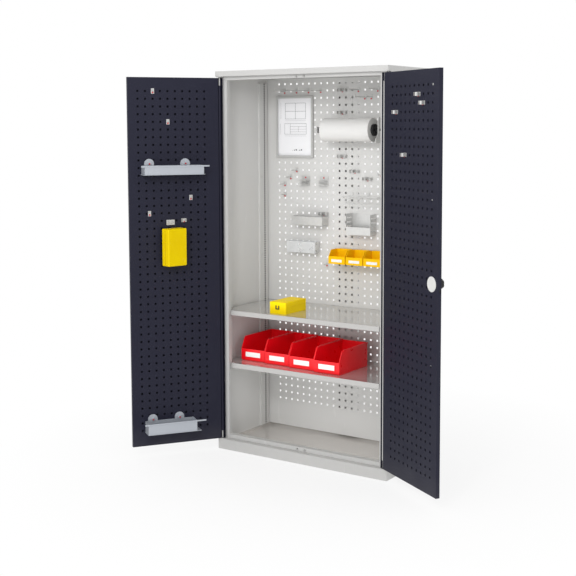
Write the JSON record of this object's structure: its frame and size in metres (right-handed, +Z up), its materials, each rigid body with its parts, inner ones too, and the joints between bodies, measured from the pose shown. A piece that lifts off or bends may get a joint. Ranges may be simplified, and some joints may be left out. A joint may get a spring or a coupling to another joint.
{
  "type": "tool cabinet",
  "caption": "Tall steel tool cabinet with two perforated doors standing open, shelves, storage bins and hung accessories.",
  "frame": {"origin": "on the floor under the middle of the carcass", "axes": "+Z up, front towards -Y, +X to the right seen from the front"},
  "size_m": [1.6493, 0.8898, 1.95],
  "materials": {
    "carcass_grey": "fine powder coat",
    "door_dark": "fine powder coat",
    "zinc": "galvanised",
    "red_plastic": "moulded",
    "yellow_plastic": "moulded",
    "black_plastic": "moulded",
    "white_plastic": "moulded",
    "clear_plastic": "clear",
    "rubber": "plain",
    "paper": "wound paper",
    "lock_steel": "plated"
  },
  "bodies": {
    "cabinet": {"side_left": "carcass_grey", "side_right": "carcass_grey", "back_wall": "carcass_grey", "back_stiffener": "carcass_grey", "floor_pan": "carcass_grey", "top_cover": "carcass_grey", "header_rail": "carcass_grey", "bottom_rail": "carcass_grey", "plinth": "carcass_grey", "rear_uprights": "carcass_grey", "front_uprights": "carcass_grey", "shelf_upper": "carcass_grey", "shelf_lower": "carcass_grey", "document_frame": "carcass_grey", "shelf_clips": "zinc", "hinge_pins": "zinc", "rod_keepers": "zinc", "frame_screws": "zinc", "roll_brackets": "zinc", "single_hooks": "zinc", "tool_clips": "zinc", "wire_rack": "zinc", "pen_tray": "zinc", "open_box": "zinc", "bin_rail": "zinc", "levelling_feet": "black_plastic", "clear_tray": "clear_plastic", "door_bumpers": "rubber"},
    "door_left": {"door_shell_left": "door_dark", "door_panel_left": "door_dark", "hinge_tube_left": "zinc", "door_tray": "zinc", "can_tray": "zinc", "door_clips_left": "zinc"},
    "hanging_case_body": {"hanging_case": "yellow_plastic"},
    "door_right": {"door_shell_right": "door_dark", "door_panel_right": "door_dark", "hinge_tube_right": "zinc", "lock_case": "zinc", "lock_rosette": "black_plastic", "lock_cover": "white_plastic", "rod_guides": "zinc", "door_clips_right": "zinc"},
    "handle": {"turn_handle": "black_plastic", "lock_cam": "zinc"},
    "key_plug": {"lock_plug": "lock_steel"},
    "upper_rod": {"rod_upper": "zinc"},
    "lower_rod": {"rod_lower": "zinc"},
    "bolt": {"centre_bolt": "zinc"},
    "roll": {"paper_roll": "paper", "roll_spindle": "black_plastic"},
    "case": {"case_base": "yellow_plastic"},
    "case_cover": {"case_lid": "yellow_plastic"},
    "small_bin_1": {"yellow_bin_1": "yellow_plastic"},
    "small_bin_2": {"yellow_bin_2": "yellow_plastic"},
    "small_bin_3": {"yellow_bin_3": "yellow_plastic"},
    "storage_bin_1": {"red_bin_1": "red_plastic"},
    "storage_bin_2": {"red_bin_2": "red_plastic"},
    "storage_bin_3": {"red_bin_3": "red_plastic"},
    "storage_bin_4": {"red_bin_4": "red_plastic"}
  },
  "joints": [
    {"name": "left_door_hinge", "type": "hinge", "parent": "cabinet", "child": "door_left", "pos_m": [-0.4775, -0.24, 0.98], "axis": [0, 0, 1], "range_deg": [-54.8, 125.2]},
    {"name": "right_door_hinge", "type": "hinge", "parent": "cabinet", "child": "door_right", "pos_m": [0.4775, -0.24, 0.98], "axis": [0, 0, 1], "range_deg": [-148.5, 31.5]},
    {"name": "hanging_case_lift", "type": "slide", "parent": "door_left", "child": "hanging_case_body", "axis": [0, 0, 1], "range_m": [0, 0.02]},
    {"name": "handle_turn", "type": "hinge", "parent": "door_right", "child": "handle", "pos_m": [0.84499, -0.4652, 0.993], "axis": [-0.5225, -0.8526, 0], "range_deg": [0, 90]},
    {"name": "key_turn", "type": "hinge", "parent": "handle", "child": "key_plug", "pos_m": [0.84499, -0.4652, 0.993], "axis": [-0.5225, -0.8526, 0], "range_deg": [0, 90]},
    {"name": "upper_rod_slide", "type": "slide", "parent": "door_right", "child": "upper_rod", "axis": [0, 0, 1], "range_m": [0, 0.0213]},
    {"name": "lower_rod_slide", "type": "slide", "parent": "door_right", "child": "lower_rod", "axis": [0, 0, -1], "range_m": [0, 0.0213]},
    {"name": "bolt_slide", "type": "slide", "parent": "door_right", "child": "bolt", "axis": [0.8526, -0.5225, 0], "range_m": [0, 0.0141]},
    {"name": "roll_spin", "type": "hinge", "parent": "cabinet", "child": "roll", "pos_m": [0.07, 0.118, 1.652], "axis": [1, 0, 0], "continuous": true},
    {"name": "case_slide", "type": "slide", "parent": "cabinet", "child": "case", "axis": [0, -1, 0], "range_m": [0, 0.028]},
    {"name": "case_lid_hinge", "type": "hinge", "parent": "case", "child": "case_cover", "pos_m": [-0.168, 0.014, 0.7665], "axis": [-1, 0, 0], "range_deg": [0, 100]},
    {"name": "small_bin_1_lift", "type": "slide", "parent": "cabinet", "child": "small_bin_1", "axis": [0, 0, 1], "range_m": [0, 0.02]},
    {"name": "small_bin_2_lift", "type": "slide", "parent": "cabinet", "child": "small_bin_2", "axis": [0, 0, 1], "range_m": [0, 0.02]},
    {"name": "small_bin_3_lift", "type": "slide", "parent": "cabinet", "child": "small_bin_3", "axis": [0, 0, 1], "range_m": [0, 0.02]},
    {"name": "storage_bin_1_slide", "type": "slide", "parent": "cabinet", "child": "storage_bin_1", "axis": [0, -1, 0], "range_m": [0, 0.08]},
    {"name": "storage_bin_2_slide", "type": "slide", "parent": "cabinet", "child": "storage_bin_2", "axis": [0, -1, 0], "range_m": [0, 0.068]},
    {"name": "storage_bin_3_slide", "type": "slide", "parent": "cabinet", "child": "storage_bin_3", "axis": [0, -1, 0], "range_m": [0, 0.054]},
    {"name": "storage_bin_4_slide", "type": "slide", "parent": "cabinet", "child": "storage_bin_4", "axis": [0, -1, 0], "range_m": [0, 0.036]}
  ],
  "couplings": [
    {"joint": "upper_rod_slide", "follows": "handle_turn", "m_per_rad": 0.0135},
    {"joint": "lower_rod_slide", "follows": "handle_turn", "m_per_rad": 0.0135},
    {"joint": "bolt_slide", "follows": "handle_turn", "m_per_rad": 0.0089}
  ]
}
